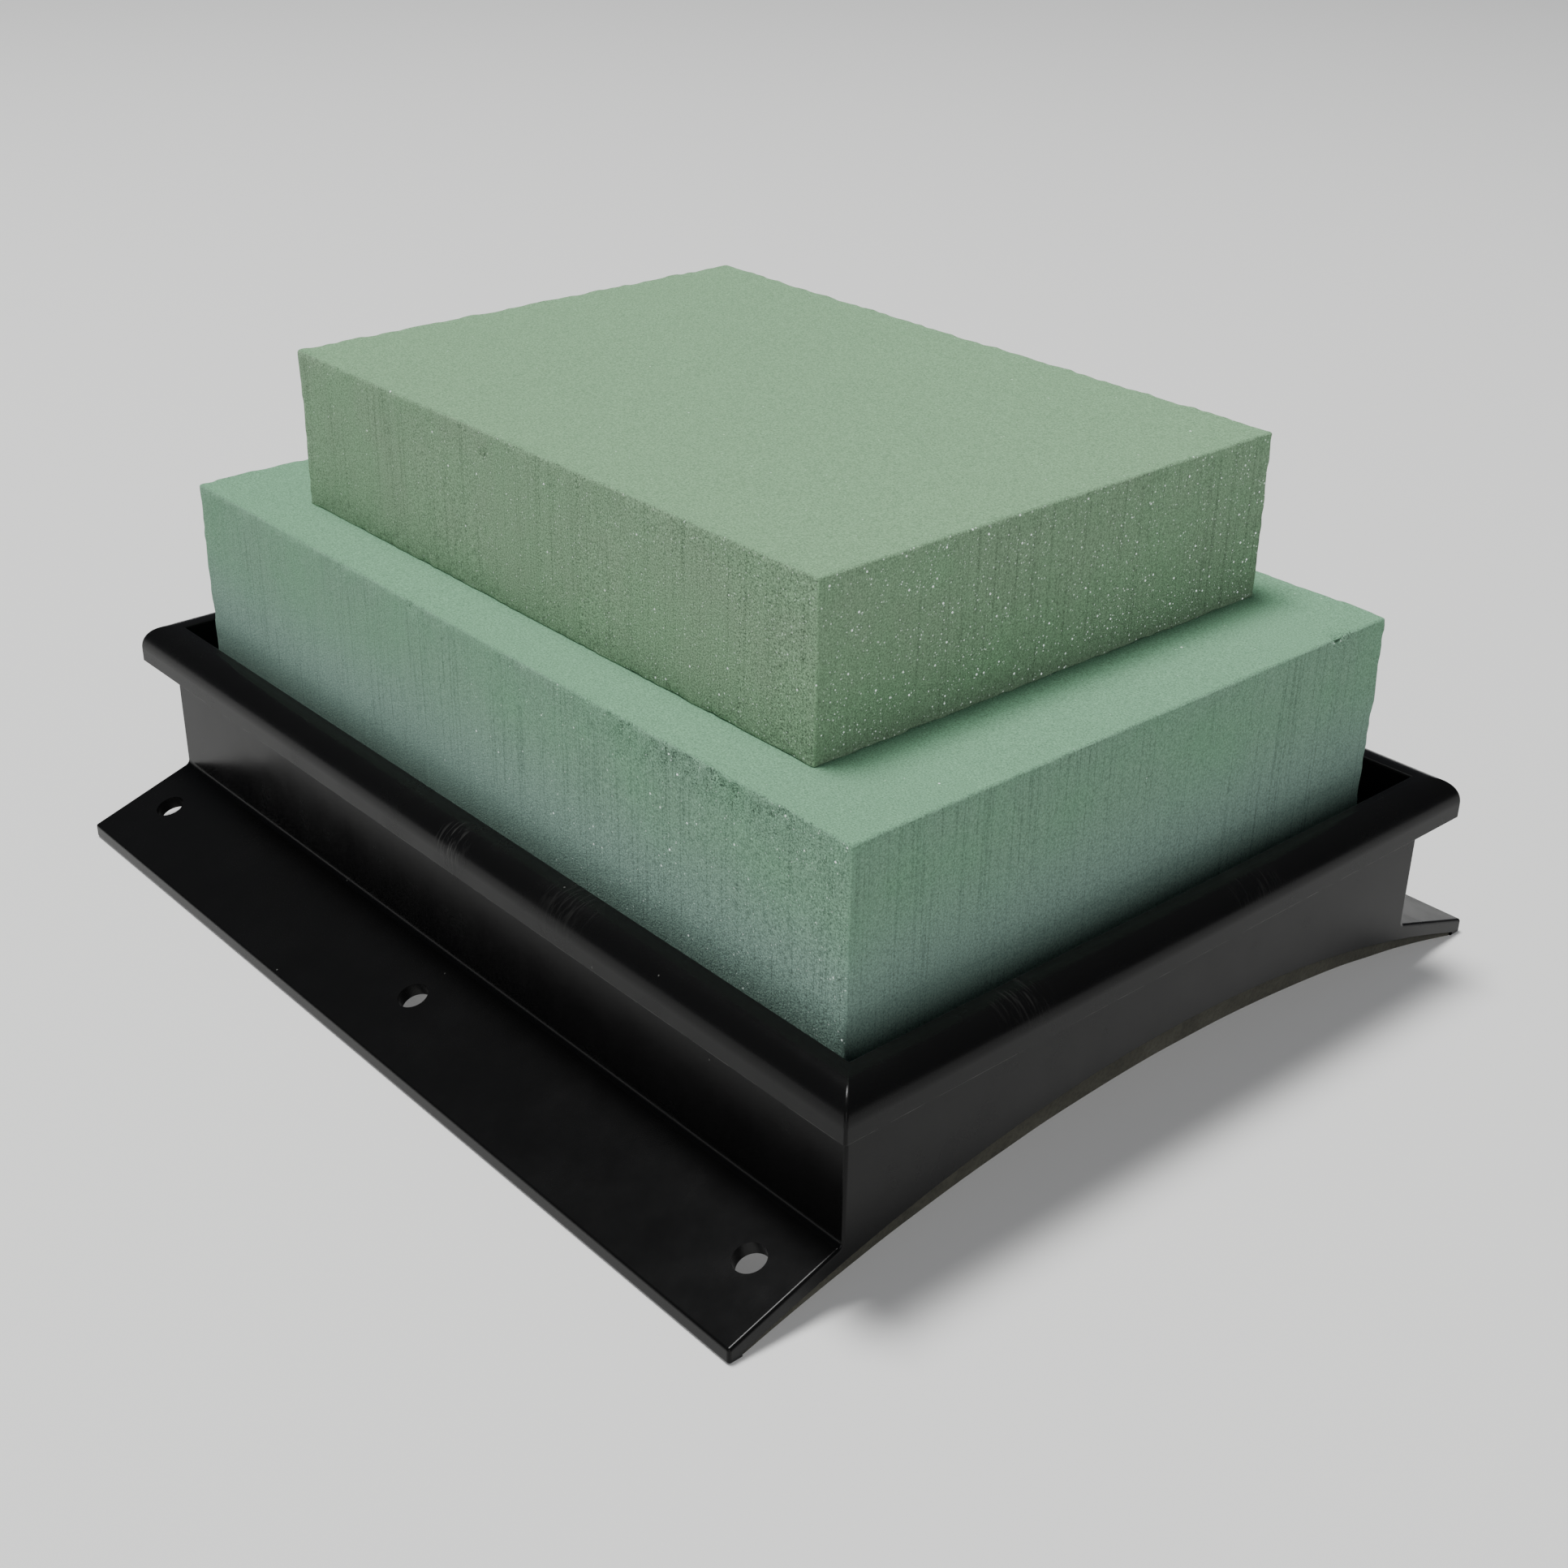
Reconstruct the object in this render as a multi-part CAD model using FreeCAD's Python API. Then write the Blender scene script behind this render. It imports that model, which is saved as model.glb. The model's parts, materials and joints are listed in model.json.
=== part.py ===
import FreeCAD, Part
import math
import os

# Two-tier floral foam casket saddle, in millimetres.
#
# An arched plastic tray stands on its two long wing edges and straddles a coffin lid. A large
# block of floral foam is glued into the tray's well, a smaller block is glued on top of it, and a
# thin foam pad under the arch keeps the plastic off the lid.
#
# Frame: +X along the wings, +Y across them, +Z up. The origin is on the resting plane, under the
# middle of the tray.

# Foam blocks: length, width, height
LOWER_BLOCK = (300.0, 200.0, 80.0)
UPPER_BLOCK = (230.0, 165.0, 47.0)
# Both blocks are set down by hand, so each sits a little off the middle of the tray
LOWER_BLOCK_SHIFT = (-1.3, -1.5)
UPPER_BLOCK_SHIFT = (1.0, -0.7)
BLOCK_EDGE_RADIUS = 1.2

# Tray well
WELL_HALF_LENGTH = 161.2
WELL_HALF_WIDTH = 112.0
WALL = 3.4
FLOOR = 3.2

# Bullnose rim, a lip turned outwards and down round the top of the well
RIM_TOP = 65.3
RIM_BOTTOM = 53.0
RIM_OVERHANG = 7.6
RIM_RADIUS = 8.0
RIM_WALL = 2.8
RIM_EDGE_RADIUS = 0.8

# Wings, one along each long wall
WING_REACH = 146.5
WING_EDGE = 4.5
WING_ROOT = 16.0
OUTER_EDGE_RADIUS = 0.9
WING_ROOT_RADIUS = 2.0
FOOT_WIDTH = 4.1

# Arch under the tray: rise of its crown above the wings' lower edges
ARCH_RISE = 26.0

# Tying holes in each wing
HOLE_RADIUS = 4.5
HOLE_PITCH = 145.6
HOLE_OFFSET = 127.2

# Ribs along the well that carry the lower block level over the arched floor
RIB_COUNT = 4
RIB_PITCH = 36.0
RIB_THICKNESS = 3.0
RIB_HALF_LENGTH = 140.0
RIB_TOP = 33.0

# Glue
TRAY_BEAD = (250.0, 7.0)
TRAY_BEAD_HEIGHT = 1.0
BLOCK_BEAD = (190.0, 8.0)
BLOCK_BEAD_HEIGHT = 0.8
BLOCK_BEAD_COUNT = 3
BLOCK_BEAD_PITCH = 48.0

# Pad under the arch and the adhesive film that holds it
FILM = 0.3
PAD_HALF_LENGTH = 160.6
PAD_CROWN = 19.4
# Openings in the pad and film, wide enough for the head of a tie
PAD_HOLE_RADIUS = 10.0

# Worked out from the dimensions above
FOOT_INSIDE = WING_REACH - FOOT_WIDTH
ARCH_RADIUS = (WING_REACH ** 2 + ARCH_RISE ** 2) / (2 * ARCH_RISE)
ARCH_CENTRE = ARCH_RISE - ARCH_RADIUS
WING_SLOPE = math.atan2(WING_ROOT - WING_EDGE, WING_REACH - WELL_HALF_WIDTH)
LOWER_BLOCK_BASE = RIB_TOP + TRAY_BEAD_HEIGHT
LOWER_BLOCK_TOP = LOWER_BLOCK_BASE + LOWER_BLOCK[2]
UPPER_BLOCK_BASE = LOWER_BLOCK_TOP + BLOCK_BEAD_HEIGHT
# How far a cutter runs past what it cuts
PAST = 5.0


def point(x, y, z):
    return FreeCAD.Vector(x, y, z)


def centred_box(half_length, half_width, bottom, top):
    corner = point(-half_length, -half_width, bottom)
    return Part.makeBox(2 * half_length, 2 * half_width, top - bottom, corner)


def prism(edges, direction):
    """Extrude the flat outline made by the edges along a direction."""
    outline = Part.Wire(Part.__sortEdges__(edges))
    return Part.Face(outline).extrude(direction)


def edges_where(shape, test):
    """The edges of a shape whose two ends both pass the test."""
    return [e for e in shape.Edges if all(test(v.Point) for v in e.Vertexes)]


def near(value, target):
    return abs(value - target) < 0.01


def arch_height(y, radius):
    """Height of a cylinder about the arch's axis, at the distance y from the middle."""
    return ARCH_CENTRE + math.sqrt(radius ** 2 - y ** 2)


def arch_cylinder(radius, half_length):
    start = point(-half_length, 0, ARCH_CENTRE)
    return Part.makeCylinder(radius, 2 * half_length, start, point(1, 0, 0))


def bullnose(half_span, half_run, along_x):
    """A bar as long as the tray's rim whose section has both top corners rounded."""
    shoulder = half_span - RIM_RADIUS
    turn = RIM_RADIUS * (1 - math.sqrt(0.5))
    profile = [
        (-half_span, RIM_BOTTOM),
        (-half_span, RIM_TOP - RIM_RADIUS),
        (-half_span + turn, RIM_TOP - turn),
        (-shoulder, RIM_TOP),
        (shoulder, RIM_TOP),
        (half_span - turn, RIM_TOP - turn),
        (half_span, RIM_TOP - RIM_RADIUS),
        (half_span, RIM_BOTTOM),
    ]
    if along_x:
        p = [point(-half_run, s, z) for s, z in profile]
        direction = point(2 * half_run, 0, 0)
    else:
        p = [point(s, -half_run, z) for s, z in profile]
        direction = point(0, 2 * half_run, 0)
    edges = [
        Part.LineSegment(p[0], p[1]).toShape(),
        Part.Arc(p[1], p[2], p[3]).toShape(),
        Part.LineSegment(p[3], p[4]).toShape(),
        Part.Arc(p[4], p[5], p[6]).toShape(),
        Part.LineSegment(p[6], p[7]).toShape(),
        Part.LineSegment(p[7], p[0]).toShape(),
    ]
    return prism(edges, direction)


def rim():
    """The rim as a filled slab with mitred corners and a hollow underside."""
    half_length = WELL_HALF_LENGTH + RIM_OVERHANG
    half_width = WELL_HALF_WIDTH + RIM_OVERHANG
    slab = bullnose(half_length, half_width, False).common(bullnose(half_width, half_length, True))
    outer_edges = [e for e in slab.Edges if edge_is_rim_corner(e)]
    slab = slab.makeFillet(RIM_EDGE_RADIUS, outer_edges)
    groove_top = RIM_TOP - RIM_WALL
    groove = centred_box(half_length - RIM_WALL, half_width - RIM_WALL, RIM_BOTTOM - PAST, groove_top)
    return slab.cut(groove)


def edge_is_rim_corner(edge):
    """True for the mitres and upright corners, which lie off both of the tray's centre planes."""
    ends = [v.Point for v in edge.Vertexes]
    same_side = all(near(abs(p.x) - abs(p.y), WELL_HALF_LENGTH - WELL_HALF_WIDTH) for p in ends)
    return same_side and ends[0].x * ends[-1].x > 0 and ends[0].y * ends[-1].y > 0


def wings_and_walls():
    """Both wings and the long walls in one section, before the arch and the well are cut out."""
    wall_top = RIM_TOP - RIM_WALL
    run = WING_ROOT_RADIUS / math.tan((math.pi / 2 + WING_SLOPE) / 2)
    centre_y = WELL_HALF_WIDTH + WING_ROOT_RADIUS
    centre_z = WING_ROOT + run
    lean = math.atan2(run, WING_ROOT_RADIUS)
    middle_y = centre_y - WING_ROOT_RADIUS * math.cos(lean)
    middle_z = centre_z - WING_ROOT_RADIUS * math.sin(lean)
    half_section = [
        (WING_REACH, 0),
        (WING_REACH, WING_EDGE),
        (WELL_HALF_WIDTH + run * math.cos(WING_SLOPE), WING_ROOT - run * math.sin(WING_SLOPE)),
        (middle_y, middle_z),
        (WELL_HALF_WIDTH, centre_z),
        (WELL_HALF_WIDTH, wall_top),
    ]
    right = [point(-WELL_HALF_LENGTH, y, z) for y, z in half_section]
    left = [point(-WELL_HALF_LENGTH, -y, z) for y, z in half_section]
    edges = [
        Part.LineSegment(left[0], right[0]).toShape(),
        Part.LineSegment(left[5], right[5]).toShape(),
    ]
    for side in (left, right):
        edges.append(Part.LineSegment(side[0], side[1]).toShape())
        edges.append(Part.LineSegment(side[1], side[2]).toShape())
        edges.append(Part.Arc(side[2], side[3], side[4]).toShape())
        edges.append(Part.LineSegment(side[4], side[5]).toShape())
    bar = prism(edges, point(2 * WELL_HALF_LENGTH, 0, 0))
    long_edges = edges_where(bar, lambda p: near(abs(p.y), WING_REACH))
    end_edges = [e for e in bar.Edges if edge_is_wing_end(e)]
    return bar.makeFillet(OUTER_EDGE_RADIUS, long_edges + end_edges)


def edge_is_wing_end(edge):
    """True for the edges at both ends that climb from a wing's tip to the rim."""
    ends = [v.Point for v in edge.Vertexes]
    at_end = near(ends[0].x, ends[-1].x)
    same_side = ends[0].y * ends[-1].y > 0
    climbs = abs(ends[0].z - ends[-1].z) > 0.1
    return at_end and same_side and climbs


def wing_holes(radius):
    """Six straight cutters, square to the wings, three through each."""
    cutters = []
    rise = WING_EDGE + (WING_REACH - HOLE_OFFSET) * math.tan(WING_SLOPE)
    for side in (-1, 1):
        axis = point(0, side * math.sin(WING_SLOPE), math.cos(WING_SLOPE))
        for step in (-1, 0, 1):
            top = point(step * HOLE_PITCH, side * HOLE_OFFSET, rise)
            cutters.append(Part.makeCylinder(radius, 6 * PAST, top - axis * 4 * PAST, axis))
    return cutters


def rows(count, pitch):
    """Evenly spaced places about the middle."""
    return [(i - (count - 1) / 2) * pitch for i in range(count)]


def ribs():
    """Upright plates along the well, from the floor to a level top."""
    plates = []
    for y in rows(RIB_COUNT, RIB_PITCH):
        corner = point(-RIB_HALF_LENGTH, y - RIB_THICKNESS / 2, 0)
        plate = Part.makeBox(2 * RIB_HALF_LENGTH, RIB_THICKNESS, RIB_TOP, corner)
        plates.append(plate.cut(arch_cylinder(ARCH_RADIUS + FLOOR / 2, WELL_HALF_LENGTH)))
    return plates


def saddle_tray():
    body = wings_and_walls().fuse(rim()).removeSplitter()
    cavity = centred_box(WELL_HALF_LENGTH - WALL, WELL_HALF_WIDTH - WALL, 0, RIM_TOP + PAST)
    body = body.cut(cavity.cut(arch_cylinder(ARCH_RADIUS + FLOOR, WELL_HALF_LENGTH)))
    mouth = edges_where(body, lambda p: near(p.z, RIM_TOP) and near_well_mouth(p))
    body = body.makeFillet(RIM_EDGE_RADIUS, mouth)
    under = centred_box(WELL_HALF_LENGTH + PAST, FOOT_INSIDE, -PAST, ARCH_RISE + PAST)
    body = body.cut(under.common(arch_cylinder(ARCH_RADIUS, WELL_HALF_LENGTH + PAST)))
    body = body.cut(wing_holes(HOLE_RADIUS))
    return body.fuse(ribs()).removeSplitter()


def near_well_mouth(p):
    return near(abs(p.x), WELL_HALF_LENGTH - WALL) and near(abs(p.y), WELL_HALF_WIDTH - WALL)


def under_arch_sheet(top_radius, bottom_middle, bottom_edge, half_length, half_width, hole_radius):
    """A sheet whose top follows the arch and whose underside is a flatter arc of its own."""
    top_edge = arch_height(half_width, top_radius)
    top_middle = ARCH_CENTRE + top_radius
    x = -half_length
    a = point(x, -half_width, top_edge)
    b = point(x, half_width, top_edge)
    c = point(x, half_width, bottom_edge)
    d = point(x, -half_width, bottom_edge)
    edges = [
        Part.Arc(a, point(x, 0, top_middle), b).toShape(),
        Part.LineSegment(b, c).toShape(),
        Part.Arc(c, point(x, 0, bottom_middle), d).toShape(),
        Part.LineSegment(d, a).toShape(),
    ]
    sheet = prism(edges, point(2 * half_length, 0, 0))
    return sheet.cut(wing_holes(hole_radius))


def pad_adhesive_sheet():
    radius = ARCH_RADIUS - FILM
    half_width = FOOT_INSIDE - 0.4
    edge = arch_height(half_width, radius)
    middle = ARCH_CENTRE + radius
    return under_arch_sheet(ARCH_RADIUS, middle, edge, PAD_HALF_LENGTH, half_width, PAD_HOLE_RADIUS)


def saddle_pad():
    """Foam pad, thickest under the crown and squeezed thin where it rests beside the feet."""
    half_width = FOOT_INSIDE - 0.4
    radius = ARCH_RADIUS - FILM
    return under_arch_sheet(radius, PAD_CROWN, 0, PAD_HALF_LENGTH, half_width, PAD_HOLE_RADIUS)


def foam_block(size, shift, base):
    length, width, height = size
    corner = point(shift[0] - length / 2, shift[1] - width / 2, base)
    block = Part.makeBox(length, width, height, corner)
    return block.makeFillet(BLOCK_EDGE_RADIUS, block.Edges)


def lower_foam_block():
    return foam_block(LOWER_BLOCK, LOWER_BLOCK_SHIFT, LOWER_BLOCK_BASE)


def upper_foam_block():
    return foam_block(UPPER_BLOCK, UPPER_BLOCK_SHIFT, UPPER_BLOCK_BASE)


def squashed_bead(size, height, centre):
    """A pressed-out bead of hot-melt glue: a flat strip along X with round ends."""
    length, width = size
    reach = (length - width) / 2
    middle = Part.makeBox(2 * reach, width, height, centre - point(reach, width / 2, 0))
    ends = [Part.makeCylinder(width / 2, height, centre + point(s * reach, 0, 0)) for s in (-1, 1)]
    return middle.fuse(ends).removeSplitter()


def tray_glue_beads():
    places = [point(0, y, RIB_TOP) for y in rows(RIB_COUNT, RIB_PITCH)]
    return Part.makeCompound([squashed_bead(TRAY_BEAD, TRAY_BEAD_HEIGHT, p) for p in places])


def block_glue_beads():
    x, middle = UPPER_BLOCK_SHIFT
    places = [point(x, middle + y, LOWER_BLOCK_TOP) for y in rows(BLOCK_BEAD_COUNT, BLOCK_BEAD_PITCH)]
    return Part.makeCompound([squashed_bead(BLOCK_BEAD, BLOCK_BEAD_HEIGHT, p) for p in places])


NODES = {
    "saddle_tray": saddle_tray,
    "saddle_pad": saddle_pad,
    "pad_adhesive_sheet": pad_adhesive_sheet,
    "tray_glue_beads": tray_glue_beads,
    "lower_foam_block": lower_foam_block,
    "block_glue_beads": block_glue_beads,
    "upper_foam_block": upper_foam_block,
}

os.makedirs("parts", exist_ok=True)
for name, make in NODES.items():
    shape = make()
    if not shape.isValid():
        raise RuntimeError(name + " is not a valid solid")
    shape.exportStep("parts/" + name + ".step")
    box = shape.BoundBox
    print(name, len(shape.Solids), "solids", round(shape.Volume / 1000, 2), "cm3",
          [round(v, 2) for v in (box.XMin, box.XMax, box.YMin, box.YMax, box.ZMin, box.ZMax)])
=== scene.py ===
import json
import math

import bpy
import numpy as np
from bpy.props import FloatProperty, FloatVectorProperty, PointerProperty
from mathutils import Matrix, Vector


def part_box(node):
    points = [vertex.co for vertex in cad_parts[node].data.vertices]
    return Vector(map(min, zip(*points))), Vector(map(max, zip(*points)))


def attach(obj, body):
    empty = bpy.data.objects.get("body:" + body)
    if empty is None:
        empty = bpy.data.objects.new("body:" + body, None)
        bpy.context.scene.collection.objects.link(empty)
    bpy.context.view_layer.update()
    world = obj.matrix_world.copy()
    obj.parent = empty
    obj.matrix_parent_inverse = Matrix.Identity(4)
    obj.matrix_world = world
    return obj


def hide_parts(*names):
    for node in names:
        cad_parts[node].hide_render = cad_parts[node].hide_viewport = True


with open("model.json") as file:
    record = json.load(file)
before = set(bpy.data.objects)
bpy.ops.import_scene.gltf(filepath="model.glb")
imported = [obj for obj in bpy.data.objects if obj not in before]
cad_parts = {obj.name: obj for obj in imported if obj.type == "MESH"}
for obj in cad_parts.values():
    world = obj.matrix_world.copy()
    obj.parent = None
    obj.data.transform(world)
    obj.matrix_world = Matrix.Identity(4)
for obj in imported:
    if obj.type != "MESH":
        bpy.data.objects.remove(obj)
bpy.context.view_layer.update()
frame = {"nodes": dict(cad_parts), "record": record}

# The visible surfaces of a two-tier floral foam casket saddle: an arched black plastic tray, two
# blocks of floral foam glued into it and onto each other, and a thin foam pad under the arch.
# Everything is in metres in the frame of the CAD model: +X along the wings, +Y across, +Z up.

bl_info = {
    "name": "Floral Foam Casket Saddle",
    "version": (1, 0, 0),
    "blender": (4, 5, 0),
    "location": "View3D > Sidebar > Foam Saddle",
    "description": "Builds the visible surfaces of a two-tier floral foam saddle round its CAD frame",
    "category": "Object",
}

MM = 0.001
BODY = "root"

# Places that come from the frame
TRAY_LOW, TRAY_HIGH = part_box("saddle_tray")
PAD_LOW, PAD_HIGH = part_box("saddle_pad")
FILM_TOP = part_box("pad_adhesive_sheet")[1].z
LOWER_LOW, LOWER_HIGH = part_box("lower_foam_block")
UPPER_LOW, UPPER_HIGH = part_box("upper_foam_block")
TRAY_BEADS_LOW, TRAY_BEADS_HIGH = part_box("tray_glue_beads")
BLOCK_BEADS_LOW, BLOCK_BEADS_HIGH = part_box("block_glue_beads")

# The arch under the tray: a circle through both wing edges and the crown
WING_REACH = TRAY_HIGH.y
ARCH_RISE = FILM_TOP
ARCH_RADIUS = (WING_REACH ** 2 + ARCH_RISE ** 2) / (2 * ARCH_RISE)
ARCH_CENTRE = ARCH_RISE - ARCH_RADIUS
# Height of the pad's underside under the crown
PAD_CROWN = 19.4 * MM

# The rim: how far its lip hangs down, and how far its long sides are from the middle
LIP_DEPTH = 12.3 * MM
RIM_HALF_WIDTH = 119.6 * MM

# Depth of a dent or groove that gets the full painted shade and coarser grain, and how much more a lost crumb
# of that depth gets
FULL_CUT = 1 * MM
CRUMB_GRAIN_AND_SHADE = 1.4

# Distance between neighbouring beads of glue
TRAY_BEAD_PITCH = 36 * MM
BLOCK_BEAD_PITCH = 48 * MM

# Floor and lights: places are metres from the middle of the object, sizes are sides of square boxes
FLOOR_REACH = 4.0
MIDDLE = Vector((0, 0, 0.08))
KEY_PLACE, KEY_SIZE = Vector((-0.14, -0.11, 0.98)) * 3.6, 1.1
FILL_PLACE, FILL_SIZE = Vector((0.72, -0.64, 0.27)) * 1.8, 1.0

# Seeds of the fixed noise. Whatever uses several noises counts on from its own seed.
LOWER_SEED, UPPER_SEED, CRUMB_SEED = 11, 51, 31
TRAY_BEAD_SEED, BLOCK_BEAD_SEED = 61, 71
GROOVE_SEED, RUB_SEED, PAD_SEED = 77, 81, 91


def linear(hex_colour):
    """A six-digit sRGB hex colour as linear red, green and blue."""
    srgb = [int(hex_colour[i:i + 2], 16) / 255 for i in (1, 3, 5)]
    return [c / 12.92 if c <= 0.04045 else ((c + 0.055) / 1.055) ** 2.4 for c in srgb]


def opaque(colour):
    """Red, green and blue with a full alpha."""
    return (*colour, 1.0)


def colour_property(name, description, hex_colour):
    """A colour that the sidebar can change, with its start value in sRGB hex."""
    return FloatVectorProperty(
        name=name, description=description, default=linear(hex_colour), subtype="COLOR", min=0, max=1)


def length_property(name, description, millimetres):
    """A length that the sidebar can change, with its start value in millimetres."""
    return FloatProperty(
        name=name, description=description, default=millimetres * MM, subtype="DISTANCE",
        unit="LENGTH", min=0)


# ---------------------------------------------------------------- sizes and colours


class FoamBlockLook(bpy.types.PropertyGroup):
    """What both foam blocks share."""
    edge_radius: length_property("Edge radius", "Rounding that handling leaves on the upper edges", 0.8)
    foot_radius: length_property("Foot radius", "Rounding of the edges that stand on something", 0.45)
    step: length_property("Surface step", "Spacing of the surface's points along the sides", 0.9)
    wander: length_property("Edge wander", "How far crumbled edges stray from a straight line", 0.45)
    saw_depth: length_property("Saw mark depth", "Depth of the fine upright saw marks", 0.04)
    lower_face: colour_property("Lower block", "Foam of the lower block", "#7daa8a")
    lower_patch: colour_property("Lower block patches", "Bluer patches on the lower block", "#84a78f")
    # Painted shade: the bluer foot colour stands for the blue shade near the tray
    lower_foot_shade_tint: colour_property("Lower block foot", "Blue-grey foam near the tray", "#8ca89b")
    upper_face: colour_property("Upper block", "Foam of the upper block", "#88ae89")
    upper_patch: colour_property("Upper block patches", "Duller patches on the upper block", "#8da98b")
    # Painted glint: near-white colour at the glints, standing for flat cell walls that mirror the lamps
    painted_glint_colour: colour_property("Specks", "Cut cell walls that catch the light", "#f1fdf7")


class TrayLook(bpy.types.PropertyGroup):
    """The moulded plastic tray."""
    plastic: colour_property("Plastic", "Black moulded plastic", "#0f0f0f")
    # Colour of the scuffs and of the painted highlight on the lower edge of the rim's lip
    scuff_and_lip_highlight: colour_property("Scuffs", "Plastic that rubbing has whitened", "#777774")
    roughness: FloatProperty(
        name="Roughness", description="Satin of the moulded surface", default=0.24, min=0, max=1)


class PadLook(bpy.types.PropertyGroup):
    """The foam pad under the arch, its adhesive and the hot glue."""
    foam: colour_property("Pad foam", "Closed-cell foam of the pad", "#3c3b33")
    film: colour_property("Film", "Clear acrylic adhesive film, seen on its edge", "#8d897c")
    glue: colour_property("Glue", "Hot-melt glue", "#d9c9a0")
    hole_radius: length_property("Pad hole radius", "Openings in the pad under the tie holes", 10.0)
    edge_radius: length_property("Pad edge", "Rounding of the pad's cut edges", 0.5)


class StageLook(bpy.types.PropertyGroup):
    """Floor, lights and camera."""
    floor: colour_property("Floor", "Opal white table top", "#e2e2e0")
    floor_glow: FloatProperty(
        name="Floor glow", description="Light that comes up through the table", default=0.155, min=0)
    room: colour_property("Room", "Colour of the light from all round", "#dfe8fa")
    room_strength: FloatProperty(
        name="Room strength", description="Light from all round", default=0.08, min=0)
    key_power: FloatProperty(
        name="Key power", description="Large soft light overhead", default=186.0, min=0, unit="POWER")
    fill_power: FloatProperty(
        name="Fill power", description="Soft light beside the camera", default=6.0, min=0, unit="POWER")
    lens: FloatProperty(
        name="Lens", description="Focal length on a 36 mm sensor, in millimetres", default=48.774, min=1)
    azimuth: FloatProperty(
        name="Azimuth", description="Camera's turn round the object", default=math.radians(48.386),
        subtype="ANGLE")
    elevation: FloatProperty(
        name="Elevation", description="Camera's height above the horizon", default=math.radians(27.630),
        subtype="ANGLE")
    roll: FloatProperty(
        name="Roll", description="Camera's tilt", default=math.radians(0.919), subtype="ANGLE")
    distance: length_property("Distance", "From the camera to the point that it looks at", 562.6)
    aim: FloatVectorProperty(
        name="Aim", description="Point that the camera looks at", default=(0.0689, -0.0506, 0.080),
        subtype="TRANSLATION", unit="LENGTH")


# ---------------------------------------------------------------- surfaces


def hashed(cells, seed):
    """A fixed pseudo-random number from 0 to 1 for each whole-number cell.

    The cell and the seed are multiplied by large odd numbers and their bits are shifted onto each
    other, so that neighbouring cells have unrelated numbers.
    """
    bits = cells @ np.array([374761393, 668265263, 1274126177]) + seed * 40503
    bits = (bits ^ (bits >> 13)) * 1103515245 & 0xFFFFFFFF
    bits = (bits ^ (bits >> 15)) * 668265263 & 0xFFFFFFFF
    return ((bits ^ (bits >> 16)) & 0xFFFF) / 0xFFFF


def noise(points, size, seed):
    """Smooth noise from -1 to 1.

    Space is cut into cells of the given size along X, Y and Z. Each cell corner has a random
    number, and a point takes the mean of its cell's eight corners, weighted by 3t^2 - 2t^3.
    """
    place = points / np.broadcast_to(size, 3)
    cell = np.floor(place).astype(np.int64)
    t = place - cell
    t = t * t * (3 - 2 * t)
    total = np.zeros(points.shape[:-1])
    for corner in np.ndindex(2, 2, 2):
        weight = np.prod(np.where(corner, t, 1 - t), axis=-1)
        total += weight * hashed(cell + corner, seed)
    return 2 * total - 1


def smooth_step(values, start, end):
    """0 before start, 1 after end, and 3t^2 - 2t^3 between."""
    t = np.clip((values - start) / (end - start), 0, 1)
    return t * t * (3 - 2 * t)


def rounded_outline(half, radius, step):
    """Points round a rectangle with rounded corners, anticlockwise, with their outward normals.

    Each corner is a quarter circle about a point one radius in from both sides, and each side
    between two corners is cut into equal steps.
    """
    corner_steps = 5
    signs = np.array([(1, 1), (-1, 1), (-1, -1), (1, -1)])
    points, normals = [], []
    for k in range(4):
        angle = np.linspace(0, np.pi / 2, corner_steps + 1) + k * np.pi / 2
        normal = np.column_stack([np.cos(angle), np.sin(angle)])
        arc = signs[k] * (half - radius) + radius * normal
        end = signs[(k + 1) % 4] * (half - radius) + radius * normal[-1]
        count = round(np.linalg.norm(end - arc[-1]) / step)
        t = np.arange(1, count)[:, None] / count
        points += [arc, arc[-1] + t * (end - arc[-1])]
        normals += [normal, np.repeat(normal[-1:], count - 1, axis=0)]
    return np.concatenate(points), np.concatenate(normals)


def block_surface(low, high, radius, foot_radius, step, rise):
    """A rectangular block with rounded edges, as rings of points from its underside to its top.

    A profile climbs from inside the underside, round the foot, up the side, round the top edge and
    in over the top. Each ring is the block's outline drawn in by the profile's inset.
    """
    inward, inward_rings, turn_rings = 30 * MM, 12, 5
    middle, half = (low + high) / 2, (high - low) / 2
    spread = inward * np.linspace(0, 1, inward_rings + 1)[1:] ** 2
    turn = np.linspace(0, np.pi / 2, turn_rings)
    start, end = low[2] + foot_radius, high[2] - radius
    sides = np.linspace(start, end, round((end - start) / rise) + 1)[1:-1]
    over = np.full_like(spread, np.pi / 2)
    slope = np.concatenate([-over, turn - np.pi / 2, 0 * sides, turn, over])
    inset = np.concatenate([
        foot_radius + spread[::-1], foot_radius * (1 - np.cos(turn - np.pi / 2)), 0 * sides,
        radius * (1 - np.cos(turn)), radius + spread])
    height = np.concatenate([
        low[2] + 0 * spread, start + foot_radius * np.sin(turn - np.pi / 2), sides,
        end + radius * np.sin(turn), high[2] + 0 * spread])
    outline, outward = rounded_outline(half[:2], radius, step)
    shrink = 1 - inset[:, None, None] / half[:2]
    points = np.empty((len(slope), len(outline), 3))
    points[..., :2] = middle[:2] + outline * shrink
    points[..., 2] = height[:, None]
    normals = np.empty_like(points)
    normals[..., :2] = np.cos(slope)[:, None, None] * outward
    normals[..., 2] = np.sin(slope)[:, None]
    return points, normals


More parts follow.
